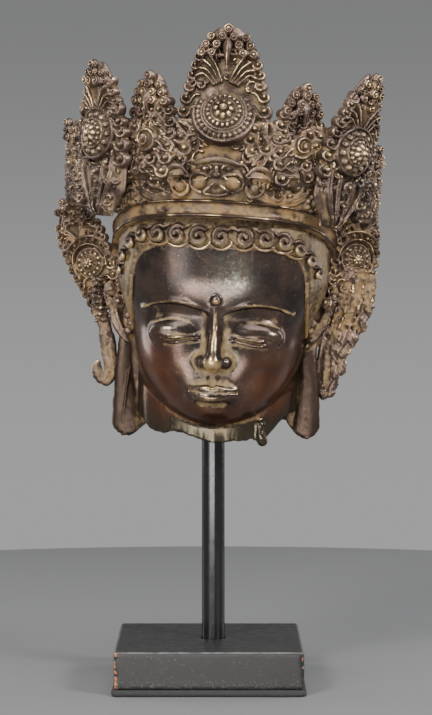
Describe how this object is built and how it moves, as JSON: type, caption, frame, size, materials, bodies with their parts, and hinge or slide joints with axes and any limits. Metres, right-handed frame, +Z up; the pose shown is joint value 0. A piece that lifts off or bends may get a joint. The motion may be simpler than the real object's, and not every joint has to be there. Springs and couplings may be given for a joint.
{
  "type": "bronze buddha head on stand",
  "caption": "Cast bronze head of a crowned buddha with a tall pierced and carved leaf crown, held up by a round rod in a painted wooden block.",
  "frame": {"origin": "centre of the underside of the felt pad, on the surface the stand rests on", "axes": "+Z up along the rod, the face looks along -Y, +X to the viewer's right"},
  "size_m": [0.1754, 0.1178, 0.3506],
  "materials": {
    "bronze": "old cast bronze, dark brown polished skin, ochre dust in the hollows and rubbed brass on the high points",
    "black_rod": "smooth black lacquered steel, semi-gloss",
    "black_wood": "satin black paint on wood, chipped at the upright edges, scratched and dusty",
    "black_felt": "black felt with a frayed, fluffy edge"
  },
  "bodies": {
    "root": {"head": "bronze", "rod": "black_rod", "base": "black_wood", "felt_pad": "black_felt"}
  },
  "joints": []
}
